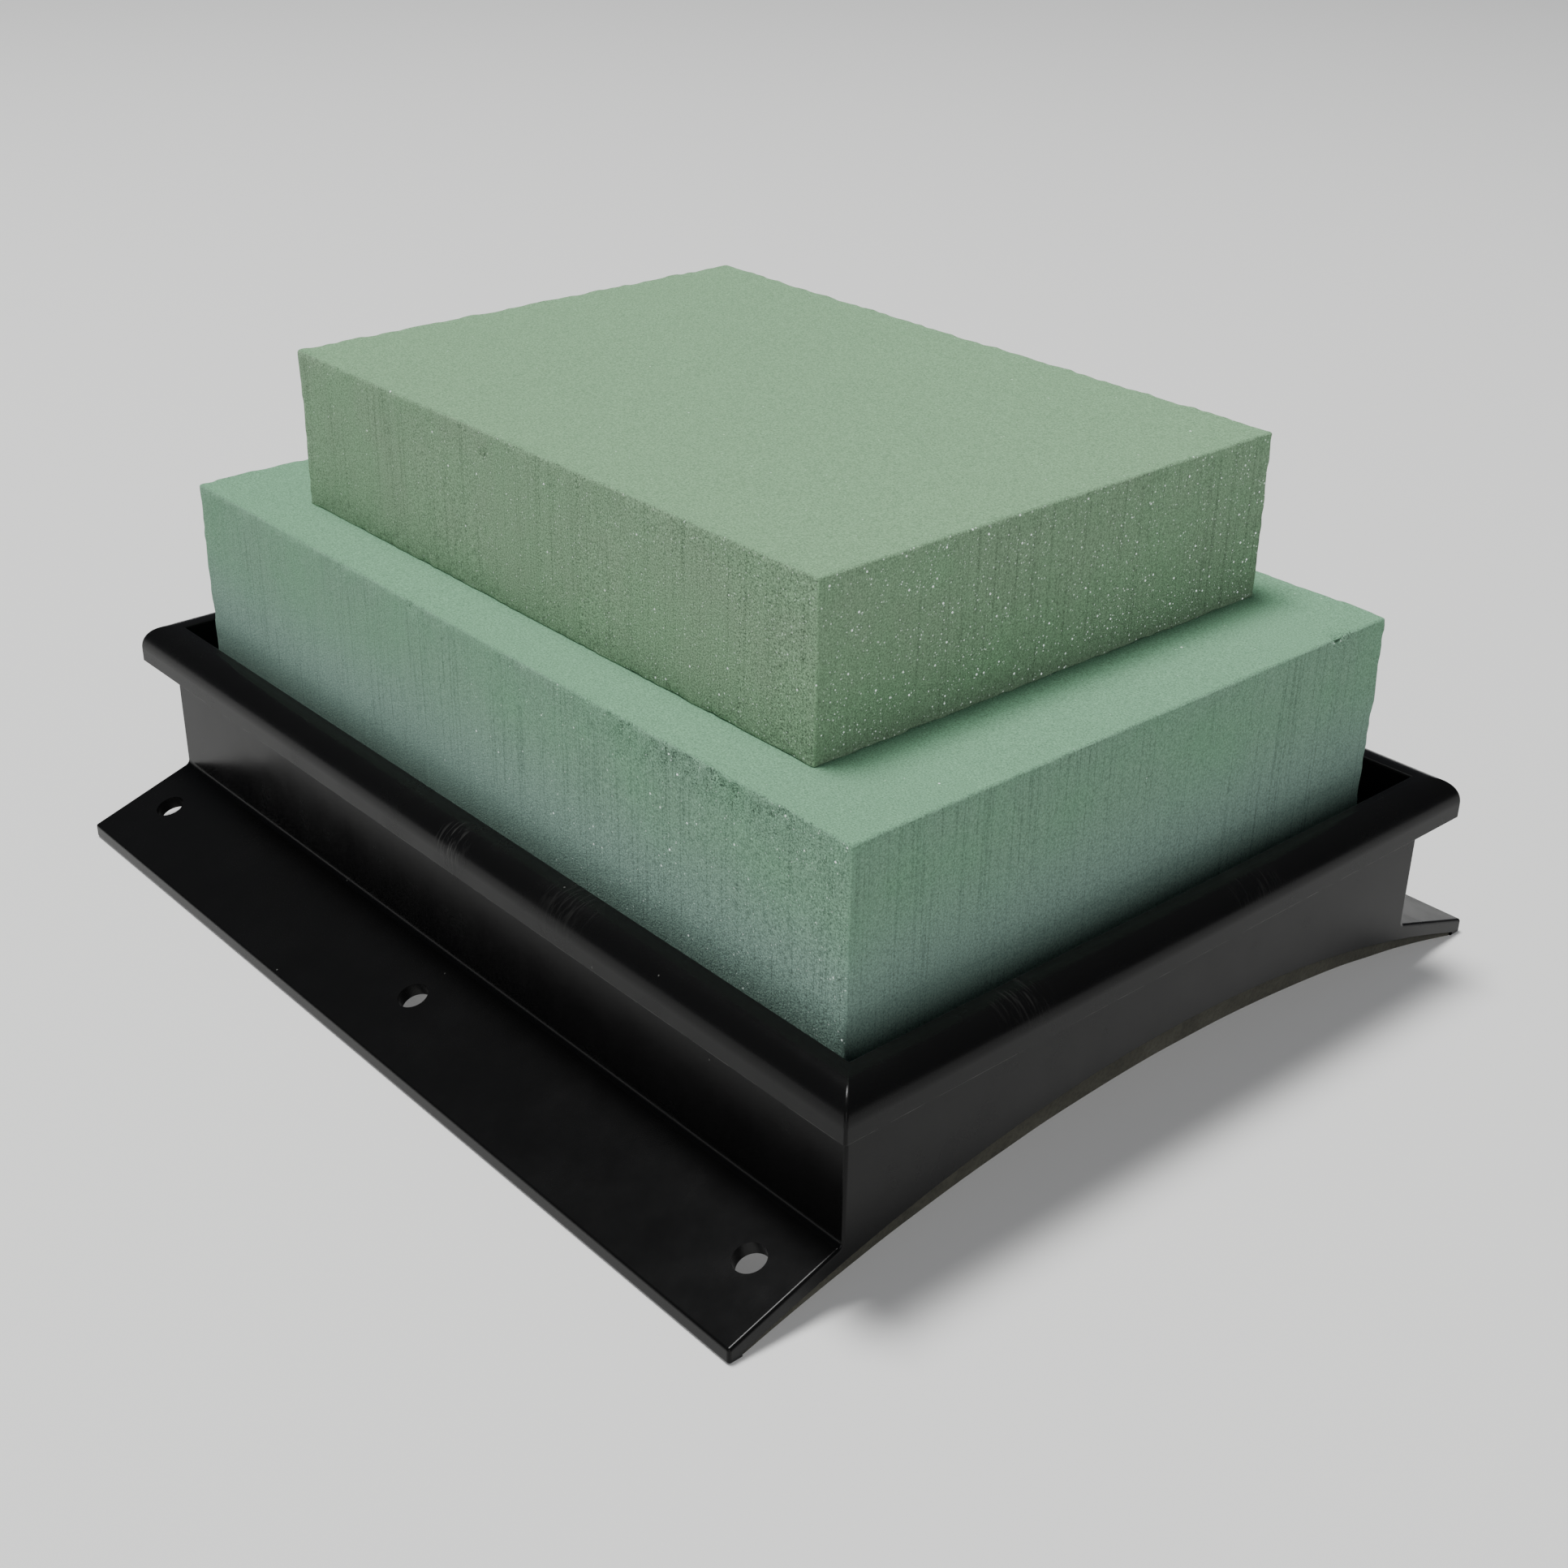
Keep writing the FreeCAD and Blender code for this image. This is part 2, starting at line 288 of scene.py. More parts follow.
def ring_faces(rings, around):
    """Quads between rings that close on themselves, and a flat cap on the first and last ring."""
    index = np.arange(rings * around).reshape(rings, around)
    right = np.roll(index, -1, axis=1)
    quads = np.stack([index[:-1], right[:-1], right[1:], index[1:]], axis=-1).reshape(-1, 4)
    return quads.tolist() + [index[0, ::-1].tolist(), index[-1].tolist()]


def edge_distance(points, low, high):
    """How far each surface point is from the block's nearest edge: its second smallest margin."""
    middle, half = (low + high) / 2, (high - low) / 2
    return np.sort(half - np.abs(points - middle), axis=-1)[..., 1]


def paler_upright_edges(points, normals):
    """Up to 1 on the block's rounded upright edges and 0 on its flat faces.

    It is four times the product of the squared X and Y parts of the surface's normal, and noise
    makes it uneven.
    """
    corner = 4 * (normals[..., 0] * normals[..., 1]) ** 2
    return corner * (0.7 + 0.3 * noise(points, 5 * MM, RUB_SEED))


def dents(points, places):
    """Round hollows: each is (x, y, z, radius, depth) and sinks by a bell curve of the distance."""
    sunk = np.zeros(points.shape[:-1])
    for x, y, z, radius, depth in places:
        distance = np.linalg.norm(points - (x, y, z), axis=-1)
        sunk += depth * np.exp(-(distance / radius) ** 2)
    return sunk


def grooves(points, normals, places):
    """Upright saw grooves: each is (axis, side, place, width, depth) and sinks by a bell curve.

    The place is measured along the axis, X (0) or Y (1), on the face that looks to the side, -1 or
    1, of the other axis. All grooves drift a little on their way up.
    """
    drift = 0.4 * MM * noise(points, (1, 1, 14 * MM), GROOVE_SEED)
    sunk = np.zeros(points.shape[:-1])
    for axis, side, place, width, depth in places:
        on_face = np.clip(normals[..., 1 - axis] * side, 0, 1)
        sunk += depth * on_face * np.exp(-((points[..., axis] - place + drift) / width) ** 2)
    return sunk


def worn_foam(points, normals, low, high, look, seed):
    """How far sawing and handling move each point of a block along its normal, outwards positive.

    It adds a slow swell, edges that crumble and wander, and upright saw marks on the four sides.
    """
    swell_height, edge_reach, edge_loss = 0.14 * MM, 3 * MM, 0.25
    upright = 1 - np.abs(normals[..., 2])
    edge = np.exp(-edge_distance(points, low, high) / edge_reach)
    swell = swell_height * noise(points, 34 * MM, seed)
    lumps = 0.55 * noise(points, 8 * MM, seed + 1) + 0.6 * noise(points, 2.7 * MM, seed + 2)
    fine = noise(points, (1.8 * MM, 1.8 * MM, 70 * MM), seed + 3)
    broad = noise(points, (7 * MM, 7 * MM, 110 * MM), seed + 4)
    saw = look.saw_depth * upright * (fine + broad)
    return swell + edge * look.wander * (lumps - edge_loss) + saw


def mesh_piece(name, points, faces, material, replaced):
    """A finished piece from its points and faces, which rides on the tray and stands for CAD nodes."""
    mesh = bpy.data.meshes.new(name)
    mesh.from_pydata(np.reshape(points, (-1, 3)).tolist(), [], faces)
    mesh.polygons.foreach_set("use_smooth", [True] * len(mesh.polygons))
    mesh.materials.append(material)
    mesh.validate()
    piece = bpy.data.objects.new(name, mesh)
    bpy.context.scene.collection.objects.link(piece)
    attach(piece, BODY)
    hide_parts(*replaced)
    return piece


def keep_attribute(piece, name, values):
    """Store one number per vertex for the material to read."""
    stored = piece.data.attributes.new(name, "FLOAT", "POINT")
    stored.data.foreach_set("value", np.ravel(values).astype(np.float32))


# ---------------------------------------------------------------- materials


def add(tree, kind, inputs=None, **settings):
    """Add a node: settings are its own properties, and inputs are values or sockets by input."""
    node = tree.nodes.new(kind)
    for name, value in settings.items():
        setattr(node, name, value)
    for key, value in (inputs or {}).items():
        if isinstance(value, bpy.types.NodeSocket):
            tree.links.new(value, node.inputs[key])
        else:
            node.inputs[key].default_value = value
    return node


def calculate(tree, operation, *values):
    """The result of a maths node on values or sockets."""
    return add(tree, "ShaderNodeMath", dict(enumerate(values)), operation=operation).outputs[0]


def remap(tree, value, source=(0.0, 1.0), target=(0.0, 1.0), **settings):
    """A value carried over from the source range to the target range, and held at both ends."""
    inputs = {
        "Value": value, "From Min": source[0], "From Max": source[1],
        "To Min": target[0], "To Max": target[1]}
    return add(tree, "ShaderNodeMapRange", inputs, **settings).outputs[0]


def mottled(tree, where, size, detail, roughness=0.5):
    """Fractal noise from 0 to 1, whose largest features have the given size."""
    inputs = {"Vector": where, "Scale": 1 / size, "Detail": detail, "Roughness": roughness}
    return add(tree, "ShaderNodeTexNoise", inputs).outputs[0]


def stretched(tree, where, sizes):
    """Coordinates divided by a size along each axis, so that noise on them is drawn out."""
    return add(tree, "ShaderNodeMapping", {"Vector": where, "Scale": [1 / size for size in sizes]}).outputs[0]


def mixed(tree, share, first, second):
    """The first colour where the share is 0, and the second where it is 1.

    The node's inputs 6 and 7 take colours, and its output 2 gives one.
    """
    return add(tree, "ShaderNodeMix", {0: share, 6: first, 7: second}, data_type="RGBA").outputs[2]


def shaded(tree, colour, tone):
    """A colour made darker or paler by a tone, which is a factor."""
    return add(tree, "ShaderNodeVectorMath", {0: colour, "Scale": tone}, operation="SCALE").outputs[0]


def relief(tree, height, strength, depth):
    """Normals tilted by a height from 0 to 1 that stands for the given depth."""
    return add(tree, "ShaderNodeBump", {"Height": height, "Strength": strength, "Distance": depth}).outputs[0]


def new_material(name):
    """An empty material, its node tree and the object's own coordinates."""
    material = bpy.data.materials.new(name)
    material.use_nodes = True
    tree = material.node_tree
    tree.nodes.clear()
    return material, tree, add(tree, "ShaderNodeTexCoord").outputs["Object"]


def finish_material(tree, inputs):
    """Add the shader with its inputs, and the output."""
    shader = add(tree, "ShaderNodeBsdfPrincipled", inputs)
    add(tree, "ShaderNodeOutputMaterial", {"Surface": shader.outputs[0]})


def specks(tree, where, spacing, radius, share):
    """Scattered dots: in a share of the cells of the given spacing, one ball of the radius.

    The surface slices the balls, so the dots differ in size, and each has its own strength. The
    share is a number or a socket. Returns a mask from 0 to 1.
    """
    core, faintest = 0.75, 0.55
    cells = add(tree, "ShaderNodeTexVoronoi", {"Vector": where, "Scale": 1 / spacing})
    size = radius / spacing
    dot = remap(tree, cells.outputs["Distance"], (core * size, size), (1.0, 0.0))
    chance = add(tree, "ShaderNodeSeparateColor", {"Color": cells.outputs["Color"]})
    chosen = calculate(tree, "LESS_THAN", chance.outputs[0], share)
    strength = remap(tree, chance.outputs[1], target=(faintest, 1.0))
    mask = calculate(tree, "MULTIPLY", dot, chosen)
    return calculate(tree, "MULTIPLY", mask, strength)


def patchy_colour(tree, where, height, upright, colours, foot_heights):
    """The foam's colour and the mask of its patches.

    Slow patches lie on the sides only, and the sides turn to the foot colour between two heights.
    """
    face, patch, foot = colours
    fewest = 0.35
    slow = mottled(tree, where, 26 * MM, 4.0, 0.6)
    patches = remap(tree, slow, (0.34, 0.6), (fewest, 1.0))
    patches = calculate(tree, "MULTIPLY", patches, upright)
    depth = remap(tree, height, foot_heights, interpolation_type="SMOOTHSTEP")
    depth = calculate(tree, "MULTIPLY", depth, upright)
    return mixed(tree, depth, mixed(tree, patches, face, patch), foot), patches


def saw_streaks(tree, where, patches):
    """Thin upright streaks where the patches are, as a change of tone that is mostly darker."""
    darkest, palest = -0.2, 0.02
    lines = mottled(tree, stretched(tree, where, (0.7 * MM, 0.7 * MM, 60 * MM)), 1.0, 2.0)
    return calculate(tree, "MULTIPLY", remap(tree, lines, (0.34, 0.46), (darkest, palest)), patches)


def coarseness(tree, x, facing_x, upright, cut, along, grit):
    """How strong the grain is.

    On the sides it follows the grit along X, less so on the ends than on the long sides. On the
    top it is even, and cuts and crumbled places are coarser.
    """
    on_ends, least, on_top, in_cuts = 0.45, 0.5, 0.9, 1.3
    endwise = calculate(tree, "MULTIPLY", facing_x, facing_x)
    calm = remap(tree, endwise, target=(1.0, on_ends))
    sides = calculate(tree, "MULTIPLY", remap(tree, x, along, grit), calm)
    sides = calculate(tree, "ADD", sides, least)
    return calculate(tree, "MULTIPLY_ADD", cut, in_cuts, remap(tree, upright, target=(on_top, sides)))


def glints(tree, where, share):
    """Painted glints of cell walls, in three sizes of which the smaller are fainter, as a mask from 0 to 1.
    """
    sizes = ((3.5 * MM, 0.34 * MM, 1.0), (1.7 * MM, 0.25 * MM, 0.5), (1.0 * MM, 0.2 * MM, 0.35))
    glint = 0.0
    for spacing, radius, strength in sizes:
        dots = calculate(tree, "MULTIPLY", specks(tree, where, spacing, radius, share), strength)
        glint = calculate(tree, "MAXIMUM", dots, glint)
    return glint


def cut_phenolic_foam(name, colours, painted_glint_colour, foot_heights, along, grit, sparkle):
    """Phenolic floral foam, cut with a wire saw.

    Open cells of about 0.2 mm scatter all light, so the foam is dead matte. Its top is smooth and
    its sawn sides are granular, with fine upright saw streaks and slow patches. Here and there a
    painted glint, a near-white colour, stands for a cell wall that lies flat and glints white. Grit
    and sparkle say how granular the long sides are and what share of cells get a painted glint, at
    the start and the end of the stretch of X that along gives. The colours are those of the face, of
    its patches and of its foot; on the lower block the foot colour is a painted blue tint of the
    shade near the tray. A faint painted glow at the glints stands for the lamps that the glinting
    walls mirror, cuts are darker with painted shade, and the rounded upright edges are paler.
    The grain is drawn at 0.45 mm, because real cells are too fine to show.
    """
    # in_cuts is the painted shade in cuts, on_edges how much paler the upright edges are, on_top the share of
    # painted glints on the top, glow the painted glow of the glints
    grain_size, in_cuts, on_edges, on_top, glow = 0.45 * MM, -0.14, 0.32, 0.04, 0.75
    material, tree, where = new_material(name)
    facing = add(tree, "ShaderNodeSeparateXYZ", {0: add(tree, "ShaderNodeNewGeometry").outputs["Normal"]})
    place = add(tree, "ShaderNodeSeparateXYZ", {0: where})
    level = calculate(tree, "MULTIPLY", facing.outputs[2], facing.outputs[2])
    upright = calculate(tree, "SUBTRACT", 1.0, level)
    # cut: depth of dents, grooves and lost crumbs, for coarser grain and painted shade
    cut = add(tree, "ShaderNodeAttribute", attribute_name="cut").outputs["Fac"]
    rubbed = add(tree, "ShaderNodeAttribute", attribute_name="rubbed").outputs["Fac"]

    base, patches = patchy_colour(tree, where, place.outputs[2], upright, colours, foot_heights)
    coarse = coarseness(tree, place.outputs[0], facing.outputs[0], upright, cut, along, grit)
    cells = mottled(tree, where, grain_size, 2.0, 0.7)
    grain = remap(tree, cells, (0.25, 0.75), (-0.5, 0.5))
    tone = calculate(tree, "MULTIPLY_ADD", grain, coarse, 1.0)
    tone = calculate(tree, "ADD", tone, saw_streaks(tree, where, patches))
    # Painted shade: dents, grooves and crumbled places are darker
    tone = calculate(tree, "MULTIPLY_ADD", cut, in_cuts, tone)
    # Paler on the rounded upright edges
    tone = calculate(tree, "MULTIPLY_ADD", rubbed, on_edges, tone)

    share = remap(tree, place.outputs[0], along, sparkle)
    share = calculate(tree, "MULTIPLY", share, remap(tree, upright, target=(on_top, 1.0)))
    glint = glints(tree, where, share)
    # Base colour and a faint emission carry the painted glints
    finish_material(tree, {
        "Base Color": mixed(tree, glint, shaded(tree, base, tone), painted_glint_colour),
        "Roughness": remap(tree, glint, target=(0.95, 0.35)),
        "Normal": relief(tree, calculate(tree, "MULTIPLY", cells, coarse), 0.8, 0.35 * MM),
        "Diffuse Roughness": 1.0, "Specular IOR Level": 0.15,
        "Emission Color": painted_glint_colour, "Emission Strength": calculate(tree, "MULTIPLY", glint, glow)})
    return material


def scuffs(tree, where, centre, reach, along):
    """Fine scratches across the rim, within reach of a point on it, as a mask from 0 to 1.

    The rim runs along X (0) or Y (1), so the noise is fine that way and long the other two ways.
    """
    solid, sizes = 0.2, [6 * MM] * 3
    sizes[along] = 0.8 * MM
    distance = add(tree, "ShaderNodeVectorMath", {0: where, 1: centre}, operation="DISTANCE").outputs["Value"]
    patch = remap(tree, distance, (solid * reach, reach), (1.0, 0.0))
    lines = mottled(tree, stretched(tree, where, sizes), 1.0, 2.0)
    return calculate(tree, "MULTIPLY", patch, remap(tree, lines, (0.5, 0.7)))


def painted_lip_highlight(tree, where):
    """Painted highlight along the lower edge of the rim's lip, as a mask from 0 to 1.

    It covers the heights near the edge, on the outermost part of the rim, and noise breaks it up.
    """
    half_height, outermost = 0.3 * MM, 1 * MM
    place = add(tree, "ShaderNodeSeparateXYZ", {0: where})
    above = calculate(tree, "SUBTRACT", place.outputs[2], TRAY_HIGH.z - LIP_DEPTH)
    band = remap(tree, calculate(tree, "ABSOLUTE", above), (0.0, half_height), (1.0, 0.0))
    outside = 0.0
    for axis, reach in ((0, TRAY_HIGH.x), (1, RIM_HALF_WIDTH)):
        away = calculate(tree, "ABSOLUTE", place.outputs[axis])
        outer = calculate(tree, "GREATER_THAN", away, reach - outermost)
        outside = calculate(tree, "MAXIMUM", outer, outside)
    broken = remap(tree, mottled(tree, where, 7 * MM, 4.0), (0.4, 0.65))
    return calculate(tree, "MULTIPLY", calculate(tree, "MULTIPLY", band, outside), broken)


def moulded_polystyrene(look):
    """High-impact polystyrene, injection moulded in a lightly textured mould.

    Black and satin: reflections are soft bands, handling leaves whitish scuffs on the rim and dulls
    it there, and a little foam dust lies on it. A pale painted highlight runs along the lower edge of
    the rim's lip, dulled like the scuffs.
    """
    material, tree, where = new_material("moulded_polystyrene")
    front, end, top = TRAY_LOW.y, TRAY_HIGH.x, TRAY_HIGH.z
    # Centre of the patch of scuffs, its reach, its strength, and the axis that the rim runs along
    patches = [
        ((0.011, front + 0.028, top - 0.004), 8 * MM, 0.22, 0),
        ((0.060, front + 0.032, top - 0.001), 14 * MM, 0.05, 0),
        ((end - 0.006, -0.060, top - 0.002), 11 * MM, 0.07, 1),
        ((end - 0.004, 0.027, top - 0.004), 12 * MM, 0.04, 1),
    ]
    lip_highlight_strength, dusty, dulled = 0.3, 0.5, 0.3
    # marks: painted highlight on the lip's lower edge, then the real scuffs and dust
    marks = calculate(tree, "MULTIPLY", painted_lip_highlight(tree, where), lip_highlight_strength)
    for centre, reach, strength, along in patches:
        marks = calculate(tree, "MULTIPLY_ADD", scuffs(tree, where, centre, reach, along), strength, marks)
    dust = specks(tree, where, 9 * MM, 0.3 * MM, 0.5)
    marks = calculate(tree, "MULTIPLY_ADD", dust, dusty, marks)
    smudge = mottled(tree, where, 18 * MM, 4.0, 0.65)
    rough = remap(tree, smudge, (0.3, 0.7), (look.roughness - 0.04, look.roughness + 0.05))
    finish_material(tree, {
        "Base Color": mixed(tree, marks, opaque(look.plastic), opaque(look.scuff_and_lip_highlight)),
        "Roughness": calculate(tree, "MULTIPLY_ADD", marks, dulled, rough),
        "Normal": relief(tree, mottled(tree, where, 0.5 * MM, 2.0), 0.15, 0.05 * MM),
        "IOR": 1.5, "Specular IOR Level": 0.12})
    return material


def closed_cell_foam(look):
    """Cross-linked polyethylene foam sheet, die-cut: dull, with closed cells of about a millimetre."""
    material, tree, where = new_material("polyethylene_foam")
    cells = add(tree, "ShaderNodeTexVoronoi", {"Vector": where, "Scale": 1 / (1.1 * MM)}).outputs["Distance"]
    tone = mottled(tree, where, 12 * MM, 4.0)
    worn = remap(tree, tone, (0.35, 0.7))
    colour = mixed(tree, worn, opaque(look.foam), opaque(0.7 * c for c in look.foam))
    finish_material(tree, {
        "Base Color": shaded(tree, colour, remap(tree, cells, (0.0, 0.7), (0.82, 1.18))),
        "Roughness": remap(tree, tone, target=(0.78, 0.9)),
        "Normal": relief(tree, cells, 0.4, 0.25 * MM),
        "Specular IOR Level": 0.3})
    return material


def acrylic_adhesive(look):
    """Acrylic transfer adhesive, cast as a thin film: greyish, tacky and a little shiny."""
    material, tree, where = new_material("acrylic_transfer_adhesive")
    ripple = mottled(tree, where, 4 * MM, 3.0)
    finish_material(tree, {
        "Base Color": mixed(tree, ripple, opaque(look.film), opaque(0.6 * c for c in look.film)),
        "Roughness": remap(tree, ripple, target=(0.3, 0.5)),
        "Normal": relief(tree, ripple, 0.2, 0.1 * MM),
        "IOR": 1.47})
    return material


def hot_melt_glue(look):
    """Ethylene-vinyl acetate hot-melt glue, pressed flat while soft: amber, cloudy and glossy."""
    material, tree, where = new_material("hot_melt_glue")
    cloud = mottled(tree, where, 6 * MM, 4.0)
    deep = opaque(c * k for c, k in zip(look.glue, (0.75, 0.6, 0.4)))
    finish_material(tree, {
        "Base Color": mixed(tree, cloud, opaque(look.glue), deep),
        "Roughness": remap(tree, cloud, target=(0.15, 0.35)),
        "Normal": relief(tree, cloud, 0.3, 0.3 * MM),
        "IOR": 1.48, "Subsurface Weight": 0.3, "Subsurface Scale": 2 * MM})
    return material


def opal_acrylic(look):
    """Opal acrylic sheet, cast and lit softly from below: white, even and matte."""
    material, tree, where = new_material("opal_acrylic")
    finish_material(tree, {
        "Base Color": opaque(look.floor),
        "Roughness": remap(tree, mottled(tree, where, 40 * MM, 2.0), target=(0.85, 0.95)),
        "Specular IOR Level": 0.2,
        "Emission Color": opaque((1.0, 1.0, 1.0)), "Emission Strength": look.floor_glow})
    return material


# ---------------------------------------------------------------- operators


class FOAM_SADDLE_OT_stage(bpy.types.Operator):
    """Lay the floor, hang the lights and set up the camera"""
    bl_idname = "foam_saddle.stage"
    bl_label = "Stage"

    def execute(self, context):
        look = context.scene.foam_saddle_stage
        aim = Vector(look.aim)
        ahead = Vector((
            -math.sin(look.azimuth) * math.cos(look.elevation),
            math.cos(look.azimuth) * math.cos(look.elevation),
            -math.sin(look.elevation),
        ))
        level = ahead.cross(Vector((0, 0, 1))).normalized()
        above = level.cross(ahead)
        right = level * math.cos(look.roll) + above * math.sin(look.roll)
        up = above * math.cos(look.roll) - level * math.sin(look.roll)
        camera = bpy.data.objects.new("camera", bpy.data.cameras.new("camera"))
        turn = Matrix((right, up, -ahead)).transposed().to_4x4()
        camera.matrix_world = Matrix.Translation(aim - ahead * look.distance) @ turn
        camera.data.lens = look.lens
        camera.data.sensor_width = 36.0
        camera.data.clip_start = 0.02
        context.scene.collection.objects.link(camera)
        context.scene.camera = camera

        mesh = bpy.data.meshes.new("floor")
        corners = [(FLOOR_REACH * x, FLOOR_REACH * y, 0) for x, y in ((-1, -1), (1, -1), (1, 1), (-1, 1))]
        mesh.from_pydata(corners, [], [(0, 1, 2, 3)])
        mesh.materials.append(opal_acrylic(look))
        floor = bpy.data.objects.new("floor", mesh)
        context.scene.collection.objects.link(floor)

        world = bpy.data.worlds.new("soft_room")
        world.use_nodes = True
        world.node_tree.nodes.clear()
        room = add(world.node_tree, "ShaderNodeBackground", {0: opaque(look.room), 1: look.room_strength})
        add(world.node_tree, "ShaderNodeOutputWorld", {0: room.outputs[0]})
        context.scene.world = world

        self.soft_light(context, "key_light", look.key_power, KEY_SIZE, KEY_PLACE)
        self.soft_light(context, "fill_light", look.fill_power, FILL_SIZE, FILL_PLACE)
        return {"FINISHED"}

    def soft_light(self, context, name, power, size, place):
        """A square soft box that looks at the middle of the object."""
        light = bpy.data.lights.new(name, "AREA")
        light.energy = power
        light.size = size
        box = bpy.data.objects.new(name, light)
        turn = place.to_track_quat("Z", "Y").to_matrix().to_4x4()
        box.matrix_world = Matrix.Translation(MIDDLE + place) @ turn
        context.scene.collection.objects.link(box)


class FOAM_SADDLE_OT_tray(bpy.types.Operator):
    """Give the moulded tray its satin black plastic"""
    bl_idname = "foam_saddle.tray"
    bl_label = "Saddle tray"

    def execute(self, context):
        plastic = moulded_polystyrene(context.scene.foam_saddle_tray)
        for holder in frame["nodes"]["saddle_tray"].material_slots:
            holder.material = plastic
        return {"FINISHED"}


class FOAM_SADDLE_OT_lower_block(bpy.types.Operator):
    """Cut the lower foam block, with its crumbled front edge and nicks"""
    bl_idname = "foam_saddle.lower_block"
    bl_label = "Lower foam block"

    def execute(self, context):
        look = context.scene.foam_saddle_foam
        low, high = np.array(LOWER_LOW), np.array(LOWER_HIGH)
        points, normals = block_surface(low, high, look.edge_radius, look.foot_radius, look.step, 1.5 * MM)
        moved = worn_foam(points, normals, low, high, look, LOWER_SEED)
        sunk = grooves(points, normals, [
            (0, -1, -0.027, 0.5 * MM, 0.2 * MM),
            (0, -1, 0.083, 0.5 * MM, 0.25 * MM),
            (0, -1, 0.101, 0.5 * MM, 0.15 * MM),
            (1, 1, -0.030, 0.5 * MM, 0.12 * MM),
        ])
        front, end, top = low[1], high[0], high[2]
        sunk += dents(points, [
            (end, 0.0005, top - 0.0168, 0.9 * MM, 0.9 * MM),
            (end, 0.0770, top, 2.4 * MM, 1.0 * MM),
            (end, 0.0815, top - 0.0008, 1.3 * MM, 0.7 * MM),
            (-0.030, front, top - 0.0012, 1.6 * MM, 0.7 * MM),
            (0.052, front, top, 1.6 * MM, 0.6 * MM),
        ])
        crumbled = self.crumbled_edge(points, normals, top)
        points = points + normals * (moved - sunk - crumbled)[..., None]
        # The foot colour is a painted blue tint of the shade near the tray
        colours = [opaque(look.lower_face), opaque(look.lower_patch), opaque(look.lower_foot_shade_tint)]
        foam = cut_phenolic_foam(
            "phenolic_foam_lower", colours, opaque(look.painted_glint_colour), foot_heights=(top - 12 * MM, top - 46 * MM),
            along=(low[0] + 130 * MM, end), grit=(0.2, 0.85), sparkle=(0.0, 0.2))
        faces = ring_faces(*points.shape[:2])
        piece = mesh_piece("cut_lower_foam_block", points, faces, foam, ["lower_foam_block"])
        # The cut attribute gives coarser grain and painted shade in dents, grooves and lost crumbs
        keep_attribute(piece, "cut", np.clip((sunk + CRUMB_GRAIN_AND_SHADE * crumbled) / FULL_CUT, 0, 1))
        # The rubbed attribute makes the rounded upright edges paler
        keep_attribute(piece, "rubbed", paler_upright_edges(points, normals))
        return {"FINISHED"}

    def crumbled_edge(self, points, normals, top):
        """Depth of the crumbs lost from a band of the front side just below the top edge.

        The band fades in and out along X and downwards, and two sizes of noise break it up.
        """
        fade_in, fade_out, fade_down = (28 * MM, 85 * MM), (120 * MM, 147 * MM), (4 * MM, 14 * MM)
        depth = 0.8 * MM
        x, below = points[..., 0], top - points[..., 2]
        band = smooth_step(x, *fade_in) * (1 - smooth_step(x, *fade_out))
        band = band * (1 - smooth_step(below, *fade_down)) * np.clip(-normals[..., 1], 0, 1)
        crumbs = 0.5 * noise(points, 2.1 * MM, CRUMB_SEED) + 0.4 * noise(points, 1.3 * MM, CRUMB_SEED + 1)
        return depth * band * np.clip(0.3 + crumbs, 0, None)


class FOAM_SADDLE_OT_upper_block(bpy.types.Operator):
    """Cut the upper foam block, with its saw marks and pits"""
    bl_idname = "foam_saddle.upper_block"
    bl_label = "Upper foam block"

    def execute(self, context):
        look = context.scene.foam_saddle_foam
        low, high = np.array(UPPER_LOW), np.array(UPPER_HIGH)
        # Pressed down on its glue, the soft underside closes the gap over the lower block
        low[2] = LOWER_HIGH.z
        points, normals = block_surface(low, high, look.edge_radius, look.foot_radius, look.step, 1.0 * MM)
        moved = worn_foam(points, normals, low, high, look, UPPER_SEED)
        sunk = grooves(points, normals, [
            (0, -1, 0.0255, 0.5 * MM, 0.25 * MM),
            (0, -1, 0.0081, 0.45 * MM, 0.12 * MM),
            (0, -1, 0.0891, 0.45 * MM, 0.15 * MM),
            (0, -1, -0.0954, 0.5 * MM, 0.15 * MM),
            (0, -1, -0.1010, 0.5 * MM, 0.12 * MM),
        ])
        front, top = low[1], high[2]
        sunk += dents(points, [
            (-0.0168, front, top - 0.0065, 1.0 * MM, 0.8 * MM),
            (-0.0190, front, top - 0.0072, 0.9 * MM, 0.4 * MM),
        ])
        points = points + normals * (moved - sunk)[..., None]
        colours = [opaque(look.upper_face), opaque(look.upper_patch), opaque(look.upper_patch)]
        foam = cut_phenolic_foam(
            "phenolic_foam_upper", colours, opaque(look.painted_glint_colour), foot_heights=(low[2] + 12 * MM, low[2]),
            along=(low[0] + 30 * MM, high[0]), grit=(0.6, 1.1), sparkle=(0.04, 0.34))
        faces = ring_faces(*points.shape[:2])
        piece = mesh_piece("cut_upper_foam_block", points, faces, foam, ["upper_foam_block"])
        # The cut attribute gives coarser grain and painted shade in dents and grooves
        keep_attribute(piece, "cut", np.clip(sunk / FULL_CUT, 0, 1))
        # The rubbed attribute makes the rounded upright edges paler
        keep_attribute(piece, "rubbed", paler_upright_edges(points, normals))
        return {"FINISHED"}


def arch_height(y, radius):
    """Height of a cylinder about the arch's axis at the distance y from the middle."""
    return ARCH_CENTRE + np.sqrt(radius ** 2 - y ** 2)


